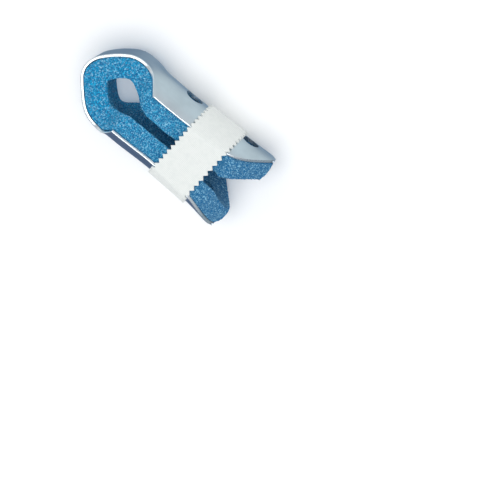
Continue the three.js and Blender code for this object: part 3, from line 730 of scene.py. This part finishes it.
class SPLINT_OT_shell(bpy.types.Operator):
    """Folds the aluminium blank, with rounded sheared edges and vent holes"""

    bl_idname = "splint.shell"
    bl_label = "Aluminium shell"

    def execute(self, context):
        shell = settings()[0]
        stations = shell_stations(shell, SHELL_STEP)
        share, inset, depth, is_edge = edge_profile(shell)
        count = len(share)
        x, y, normal_x, normal_y, half, bend = [column[:, None] for column in stations.T]
        at_edge = np.abs(share) >= 1
        v = share * half + np.where(at_edge, np.sign(share) * inset, -share * shell.edge_round)
        z, drop = across(bend, v, depth)
        places = np.stack([x - normal_x * drop, y - normal_y * drop, z], axis=2).reshape(-1, 3)
        faces = loft_faces(len(stations), count, ends="strip")
        on_edge = [is_edge[k] or is_edge[(k + 1) % count] for k in range(count)]
        sides = (len(stations) - 1) * count
        index = [int(on_edge[f % count]) if f < sides else 1 for f in range(len(faces))]
        shift = frame_shift(shell)
        nose_x = float(shift[0])
        head_length = splint_legs(shell)[0].head_length
        materials = [rolled_aluminium(shell, nose_x, head_length), sheared_aluminium(shell, nose_x)]
        piece = new_piece("folded_shell", places + shift, faces, materials, index)
        face_out(piece)
        cut(piece, vent_cutters(shell, materials))
        self.bend_by_hand(piece, shell)
        soften(piece, 38)
        finish_piece(piece, SHELL_NODE)
        return {"FINISHED"}

    @staticmethod
    def bend_by_hand(piece, shell):
        """Both faces of the sheet stray together, a little in and out, as hand-bent metal does."""
        places = read_places(piece.data)
        outwards = places - frame_shift(shell)
        outwards[:, 0] = 0
        outwards /= np.maximum(1e-6, np.linalg.norm(outwards, axis=1))[:, None]
        closer_across = [1, 1, 1.6]
        wave_size = 11 * MM
        swing = stray(places * closer_across, wave_size, 2) * shell.waviness
        places -= outwards * (swing + shell.waviness)[:, None] * 0.5
        piece.data.vertices.foreach_set("co", places.ravel())
        piece.data.update()


def foam_half(shell, foam, tape, leg, step):
    """Half of the foam's envelope: an arch under the metal with bulging sides, down past the middle plane."""
    inset = shell.wall + foam.clearance
    overlap = 1.0 * MM
    squeezed_share, fullest_share = 0.9, 0.82
    hx, hy, heading = head_arcs(leg, step)
    past_nose = heading < math.radians(88)
    hx, hy, heading = hx[past_nose], hy[past_nose], heading[past_nose]
    x = leg_stations(shell, leg, step, foam.proud)
    half = np.concatenate([half_width(shell, leg, hx), half_width(shell, leg, x, foam.proud)])
    height = np.concatenate([hy - inset * np.cos(heading), spine_height(shell, leg, x) - inset])
    bend = np.concatenate([np.full_like(hx, FLAT), arch(shell, leg, x)])
    squeeze = 1 - squeezed_share * np.concatenate([np.zeros_like(hx), under_tape(tape, x)])
    lean = leg.end_swell * np.concatenate([np.zeros_like(hx), end_share(shell, leg, x, foam.proud) ** 2])
    widened = smooth(half, shell.bridge_half, shell.wing_half)
    bulge = (foam.head_bulge + (foam.bulge - foam.head_bulge) * widened) * squeeze
    x = np.concatenate([hx + inset * np.sin(heading), x])
    arch_shares = np.linspace(-1, 1, 41)
    side_shares = np.linspace(0, 1, 17)[1:]
    z, drop = across(bend[:, None], arch_shares * half[:, None], inset)
    edge_z, edge_drop = across(bend, half, inset)
    top = height + inset - edge_drop
    swell = np.sin(math.pi * np.minimum(fullest_share, side_shares**0.75))
    side_y = top[:, None] + (-overlap - top[:, None]) * side_shares
    side_z = edge_z[:, None] + bulge[:, None] * swell
    ring_y = np.concatenate([side_y[:, ::-1], height[:, None] + inset - drop, side_y], axis=1)
    ring_z = np.concatenate([-side_z[:, ::-1], z, side_z], axis=1)
    depth = np.clip((top[:, None] - ring_y) / foam.swell_depth, 0, 1)
    ring_x = x[:, None] + lean[:, None] * np.sin(math.pi * depth)
    places = np.stack([ring_x, leg.side * ring_y, ring_z], axis=2)
    middles = [places[0].mean(axis=0), places[-1].mean(axis=0)]
    flat = np.concatenate([places.reshape(-1, 3), middles]) + frame_shift(shell)
    piece = new_piece("foam_half", flat, loft_faces(len(x), ring_y.shape[1], ends="fan"), [])
    face_out(piece)
    return piece


# The window's outline. along is a share of its length from the pointed end, and
# up a share of its half height.
WINDOW_PEAK = 0.36
WINDOW_OUTLINE = [
    {"along": 0.0, "up": 0.05},
    {"along": 0.07, "up": 0.39},
    {"along": 0.16, "up": 0.71},
    {"along": WINDOW_PEAK, "up": 1.04},
    {"along": 0.55, "up": 0.91},
    {"along": 0.73, "up": 0.74},
    {"along": 0.91, "up": 0.47},
    {"along": 1.1, "up": 0.27},
    {"along": 1.1, "up": -0.27},
    {"along": 0.87, "up": -0.34},
    {"along": 0.64, "up": -0.67},
    {"along": 0.42, "up": -0.94},
    {"along": 0.29, "up": -0.8},
    {"along": 0.11, "up": -0.36},
]


def smooth_loop(corners, steps):
    """A centripetal Catmull-Rom curve through a closed list of places."""
    corners = np.array(corners)
    made = []
    count = len(corners)
    for i in range(count):
        p = [corners[(i + k) % count] for k in (-1, 0, 1, 2)]
        knots = [0.0]
        for a, b in zip(p, p[1:]):
            knots.append(knots[-1] + max(1e-9, np.linalg.norm(b - a)) ** 0.5)
        t = np.linspace(knots[1], knots[2], steps, endpoint=False)[:, None]

        def blend(a, b, low, high):
            return (high - t) / (high - low) * a + (t - low) / (high - low) * b

        a1, a2, a3 = (blend(p[k], p[k + 1], knots[k], knots[k + 1]) for k in range(3))
        b1, b2 = (blend(a, b, knots[k], knots[k + 2]) for k, (a, b) in enumerate([(a1, a2), (a2, a3)]))
        made.append(blend(b1, b2, knots[1], knots[2]))
    return np.concatenate(made)


def window_cutter(shell, foam):
    """A bar with the window's outline, through the whole width."""
    start = shell.wall + foam.thickness + foam.bunching
    corners = [
        (start + point["along"] * foam.window_length, foam.slot_rise + point["up"] * foam.window_half)
        for point in WINDOW_OUTLINE
    ]
    outline = smooth_loop(corners, 10)
    reach = 2 * shell.wing_half
    rings = [np.column_stack([outline, np.full(len(outline), z)]) for z in (-reach, reach)]
    places = np.concatenate(rings) + frame_shift(shell)
    count = len(outline)
    faces = loft_faces(2, count)
    faces += [tuple(range(count)), tuple(range(2 * count - 1, count - 1, -1))]
    cutter = new_piece("window_cutter", places, faces, [])
    face_out(cutter)
    return cutter


def finger_cutter(shell, foam, tape, step):
    """The space for the finger: each pad's inner face is a round trough, down to the lips of the slot."""
    start = shell.wall + foam.thickness + foam.bunching + foam.window_length * WINDOW_PEAK
    end = shell.dorsal_length + shell.palmar_end_swell + 2 * shell.wall
    x = np.linspace(start, end, round((end - start) / step) + 1)[:, None]
    z = 1.5 * shell.wing_half * np.sin(np.linspace(-math.pi / 2, math.pi / 2, 49))
    drop = foam.pad_radius * (1 - np.sqrt(1 - np.minimum(1, np.abs(z) / foam.pad_radius) ** 2))
    roofs = []
    for leg in splint_legs(shell):
        lead_in = 1.0 * MM * (1 - smooth(x, start, start + foam.lead_in))
        crown = spine_height(shell, leg, x) - shell.wall - foam.thickness - drop - lead_in
        opening = leg.lip_opening * smooth(x, tape.start, leg.length)
        lip = foam.slot_half + leg.side * foam.slot_rise + opening
        roofs.append(leg.side * np.maximum(crown, lip))
    y = np.concatenate([roofs[0], roofs[1][:, ::-1]], axis=1)
    ring_z = np.concatenate([z, z[::-1]])
    places = np.stack([np.broadcast_to(x, y.shape), y, np.broadcast_to(ring_z, y.shape)], axis=2)
    faces = loft_faces(len(x), len(ring_z), ends="strip")
    cutter = new_piece("finger_cutter", places.reshape(-1, 3) + frame_shift(shell), faces, [])
    face_out(cutter)
    return cutter


class SPLINT_OT_foam(bpy.types.Operator):
    """Lines the shell with foam, open at the window, the slots and the finger space, with roughened faces"""

    bl_idname = "splint.foam"
    bl_label = "Foam liner"

    def execute(self, context):
        shell, foam, tape, _ = settings()
        dorsal, palmar = splint_legs(shell)
        piece = foam_half(shell, foam, tape, dorsal, FOAM_STEP)
        piece.name = "blue_foam_liner"
        cut(piece, [foam_half(shell, foam, tape, palmar, FOAM_STEP)], "UNION")
        cutters = [window_cutter(shell, foam), finger_cutter(shell, foam, tape, FOAM_STEP)]
        cut(piece, cutters + vent_cutters(shell, []))
        remesh = piece.modifiers.new("even faces", "REMESH")
        remesh.mode = "VOXEL"
        remesh.voxel_size = foam.voxel
        relax = piece.modifiers.new("rounded edges", "SMOOTH")
        relax.iterations = 1
        relax.factor = 0.5
        keep_modifiers(piece)
        self.open_cells(piece, foam)
        piece.data.shade_smooth()
        low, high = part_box(FOAM_NODE)
        piece.data.materials.clear()
        piece.data.materials.append(open_cell_foam(foam, float(low[0]), float(high[0])))
        finish_piece(piece, FOAM_NODE)
        return {"FINISHED"}

    @staticmethod
    def open_cells(piece, foam):
        """Slow waves from the die cut, and small pits where the knife has opened cells."""
        places = read_places(piece.data)
        normals = read_normals(piece.data)
        # Each has a size, a seed and a height
        waves = stray(places, 6 * MM, 3) * 0.1 * MM
        lumps = stray(places, 1.3 * MM, 4) * 0.07 * MM
        pits = np.abs(stray(places, 0.75 * MM, 5)) * -0.12 * MM
        places += normals * (waves + lumps + pits)[:, None]
        piece.data.vertices.foreach_set("co", places.ravel())
        piece.data.update()


def tape_stops(shell, flat_steps):
    """The way round: over each paddle from edge to edge, round the metal's edge, and down the flat side."""
    arc = np.linspace(-1, 1, 160)
    corner = np.linspace(0, 1, 13)[1:]
    down = np.linspace(0, 1, flat_steps + 1)[1:-1]
    stops = []
    for leg in (0, 1):
        turn = 1 if leg == 0 else -1
        stops += [(leg, turn * a * shell.wing_half, 0, 0) for a in arc]
        stops += [(leg, turn * shell.wing_half, c, 0) for c in corner]
        stops += [(leg, turn * shell.wing_half, 1, d) for d in down]
        stops += [(1 - leg, turn * shell.wing_half, c, 0) for c in corner[::-1]]
    return np.array(stops)


def tape_side(shell, tape):
    """How far the tape's flat sides stand from the middle of the width, clear of both legs' edges."""
    end = tape.start + tape.width
    edges = [across(arch(shell, leg, end), shell.wing_half, 0.0)[0] for leg in splint_legs(shell)]
    return tape.clearance + max(edges)


def tape_on_leg(shell, tape, leg, x, v, swing):
    """y, z and tilt of the tape's inner face on a leg. swing takes it round the edge to the flat side."""
    bend = arch(shell, leg, x)
    z, drop = across(bend, v, -tape.clearance)
    out = (tape_side(shell, tape) - np.abs(z)) * swing
    tilt = np.abs(v) * bend * (1 - swing) + math.pi / 2 * swing
    return leg.side * (spine_height(shell, leg, x) - drop - out), np.sign(v) * (np.abs(z) + out), tilt


def tape_places(shell, tape, stops, x, outward):
    """y and z of each stop at its x, at a distance outward of the tape's inner face."""
    is_palmar, v, swing, down = stops.T
    dorsal, palmar = splint_legs(shell)
    near, far = [], []
    for leg, is_here in ((dorsal, is_palmar == 0), (palmar, is_palmar == 1)):
        y, z, tilt = tape_on_leg(shell, tape, leg, x, v, swing)
        y = y + leg.side * outward * np.cos(tilt)
        z = z + np.sign(v) * outward * np.sin(tilt)
        near.append(np.where(is_here, [y, z], 0.0))
        edge_y = tape_on_leg(shell, tape, leg, x, v, 1.0)[0]
        far.append(np.where(is_here, 0.0, edge_y))
    y, z = near[0] + near[1]
    return y + (far[0] + far[1] - y) * down, z


class SPLINT_OT_tape(bpy.types.Operator):
    """Winds the cloth tape round the splint, with pinked edges and the step where its outer turn ends"""

    bl_idname = "splint.tape"
    bl_label = "Cloth tape"

    def execute(self, context):
        shell, _, tape, _ = settings()
        per_tooth = 16
        stops = tape_stops(shell, 60)
        middle = np.full(len(stops), tape.start + tape.width / 2)
        y, z = tape_places(shell, tape, stops, middle, tape.wall)
        walked = np.concatenate([[0], np.cumsum(np.hypot(np.diff(y, append=y[0]), np.diff(z, append=z[0])))])
        around = walked[-1]
        teeth = round(around / tape.tooth_pitch)
        count = teeth * per_tooth
        goal = around * np.arange(count) / count
        at = np.searchsorted(walked, goal, side="right") - 1
        share = (goal - walked[at]) / (walked[at + 1] - walked[at])
        here, beyond = stops[at], stops[(at + 1) % len(stops)]
        phase = (np.arange(count) % per_tooth) / per_tooth
        notch = tape.tooth_depth * (1 - np.abs(2 * phase - 1))
        start = tape.start - tape.tooth_depth / 2 + notch
        end = tape.start + tape.width + tape.tooth_depth / 2 - notch
        rows = np.array([0, 0.02, 0.05, 0.09, 0.16, 0.26, 0.38, 0.5, 0.62, 0.74, 0.84, 0.91, 0.95, 0.98, 1])
        head_height = splint_legs(shell)[0].head_height
        outer, inner = [], []
        for row in rows:
            x = start + (end - start) * row
            lift = self.rise(tape, row, goal / around)
            for store, outward in ((inner, np.zeros(count)), (outer, lift)):
                ya, za = tape_places(shell, tape, here, x, outward)
                yb, zb = tape_places(shell, tape, beyond, x, outward)
                y, z = ya + (yb - ya) * share, za + (zb - za) * share
                store.append(np.stack([x + tape.skew * y / head_height, y, z], axis=1))
        ring = np.stack(outer + inner[::-1], axis=1)
        places = ring.reshape(-1, 3) + frame_shift(shell)
        faces = loft_faces(count, ring.shape[1], loop=True)
        piece = new_piece("cloth_tape", places, faces, [woven_tape(tape)])
        face_out(piece)
        soften(piece, 50)
        finish_piece(piece, TAPE_NODE)
        return {"FINISHED"}

    @staticmethod
    def rise(tape, row, share):
        """How far the outer face stands over the inner one, with slack and the outer turn's end."""
        slack_depth, slack_waves = 0.04 * MM, 5
        end_at, fade_over = 0.62, 0.22
        wave = np.sin(2 * math.pi * (slack_waves * share + 0.7 * row))
        slack = slack_depth * wave * math.sin(math.pi * row)
        past = (share - end_at) % 1.0
        step = tape.turn * (1 - smooth(past, 0.0, fade_over)) * (past > 0)
        return tape.wall - step + np.minimum(0, slack)


class SPLINT_OT_stage(bpy.types.Operator):
    """Sets the floor, two softboxes, the room's pale light and the camera"""

    bl_idname = "splint.stage"
    bl_label = "Stage"

    def execute(self, context):
        shell, _, _, stage = settings()
        half = stage.floor_half
        corners = [(-half, -half, 0), (half, -half, 0), (half, half, 0), (-half, half, 0)]
        floor = new_piece("floor", corners, [(0, 1, 2, 3)], [matt_floor(stage)])
        # The metal sees the room in place of the floor, which would make it white
        floor.visible_glossy = False
        self.add_camera(context, shell, stage)
        self.add_light("key_softbox", stage.key_power, stage.key_size, stage.key_place)
        self.add_light("side_softbox", stage.side_power, stage.side_size, stage.side_place)
        self.add_room(context, stage)
        return {"FINISHED"}

    @staticmethod
    def add_camera(context, shell, stage):
        """A long lens that looks down at the splint, leaning to the back of the turned finger."""
        tilt, roll = stage.camera_tilt, stage.camera_roll
        along = Vector((1, 0, 0))
        above = Vector((0, math.cos(tilt), -math.sin(tilt)))
        back = Vector((0, math.sin(tilt), math.cos(tilt)))
        right = along * math.cos(roll) + above * math.sin(roll)
        up = above * math.cos(roll) - along * math.sin(roll)
        shift = Vector(frame_shift(shell))
        aim = shift + along * stage.aim_ahead - Vector((0, stage.aim_below, 0))
        data = bpy.data.cameras.new("camera")
        data.lens = stage.lens
        data.sensor_width = SENSOR_WIDTH
        distance = stage.field * stage.lens / SENSOR_WIDTH
        data.clip_start, data.clip_end = 0.01, 10.0
        camera = bpy.data.objects.new("camera", data)
        context.scene.collection.objects.link(camera)
        turn = Matrix((right, up, back)).transposed().to_4x4()
        camera.matrix_world = Matrix.Translation(aim + back * distance) @ turn
        context.scene.camera = camera

    @staticmethod
    def add_light(name, power, size, middle):
        """A round softbox, turned to the splint."""
        data = bpy.data.lights.new(name, "AREA")
        data.shape = "DISK"
        data.size = size
        data.energy = power
        light = bpy.data.objects.new(name, data)
        light.location = middle
        light.rotation_mode = "QUATERNION"
        light.rotation_quaternion = (-Vector(middle)).to_track_quat("-Z", "Y")
        bpy.context.scene.collection.objects.link(light)

    @staticmethod
    def add_room(context, stage):
        """A pale room as the metal sees it, with a dark wall on the pad side and a dimmer zenith."""
        world = bpy.data.worlds.new("pale_room")
        world.use_nodes = True
        tree = world.node_tree
        way = add_node(tree, "ShaderNodeTexCoord", {}, "Generated")
        x, y, z = (add_node(tree, SPLIT, {"Vector": way}, axis) for axis in "XYZ")
        aside = add_node(tree, MATH, {0: x}, operation="ABSOLUTE")
        beside = add_node(tree, RANGE, {"Value": aside, "From Min": 0.4, "From Max": 0.75})
        behind = add_node(tree, RANGE, {"Value": y, "From Min": -0.3, "From Max": 0.75})
        is_pale = add_node(tree, MATH, {0: behind, 1: beside}, operation="MAXIMUM")
        walls = {SHARE: is_pale, FIRST: rgba(stage.dark_wall), SECOND: rgba(stage.pale_wall)}
        wall = add_node(tree, MIX, walls, MIXED, data_type="RGBA")
        off_floor = add_node(tree, RANGE, {"Value": z, "From Min": -0.97, "From Max": -0.8})
        lower = {SHARE: off_floor, FIRST: rgba(stage.low_wall), SECOND: wall}
        low = add_node(tree, MIX, lower, MIXED, data_type="RGBA")
        is_overhead = add_node(tree, RANGE, {"Value": z, "From Min": 0.45, "From Max": 0.7})
        upper = {SHARE: is_overhead, FIRST: rgba(stage.ceiling), SECOND: rgba(stage.zenith)}
        high = add_node(tree, MIX, upper, MIXED, data_type="RGBA")
        over_wall = add_node(tree, RANGE, {"Value": z, "From Min": -0.05, "From Max": 0.12})
        room = add_node(tree, MIX, {SHARE: over_wall, FIRST: low, SECOND: high}, MIXED, data_type="RGBA")
        fill_inputs(tree, tree.nodes["Background"], {"Color": room})
        context.scene.world = world
        context.scene.view_settings.view_transform = "Standard"


class SPLINT_PT_panel(bpy.types.Panel):
    """Lists the pieces of the splint"""

    bl_idname = "SPLINT_PT_panel"
    bl_label = "Finger splint"
    bl_space_type = "VIEW_3D"
    bl_region_type = "UI"
    bl_category = "Splint"

    def draw(self, context):
        for operator in MAKING_ORDER:
            self.layout.operator(operator.bl_idname)


MAKING_ORDER = (SPLINT_OT_shell, SPLINT_OT_foam, SPLINT_OT_tape, SPLINT_OT_stage)
GROUPS = {
    "splint_shell": SplintShellSettings,
    "splint_foam": SplintFoamSettings,
    "splint_tape": SplintTapeSettings,
    "splint_stage": SplintStageSettings,
}


def register():
    for group in GROUPS.values():
        bpy.utils.register_class(group)
    for made in (*MAKING_ORDER, SPLINT_PT_panel):
        bpy.utils.register_class(made)
    for name, group in GROUPS.items():
        setattr(bpy.types.Scene, name, PointerProperty(type=group))


def unregister():
    for name in GROUPS:
        delattr(bpy.types.Scene, name)
    for made in (SPLINT_PT_panel, *reversed(MAKING_ORDER)):
        bpy.utils.unregister_class(made)
    for group in reversed(list(GROUPS.values())):
        bpy.utils.unregister_class(group)


def main():
    register()
    bpy.ops.splint.shell()
    bpy.ops.splint.foam()
    bpy.ops.splint.tape()
    bpy.ops.splint.stage()


if __name__ == "__main__":
    main()
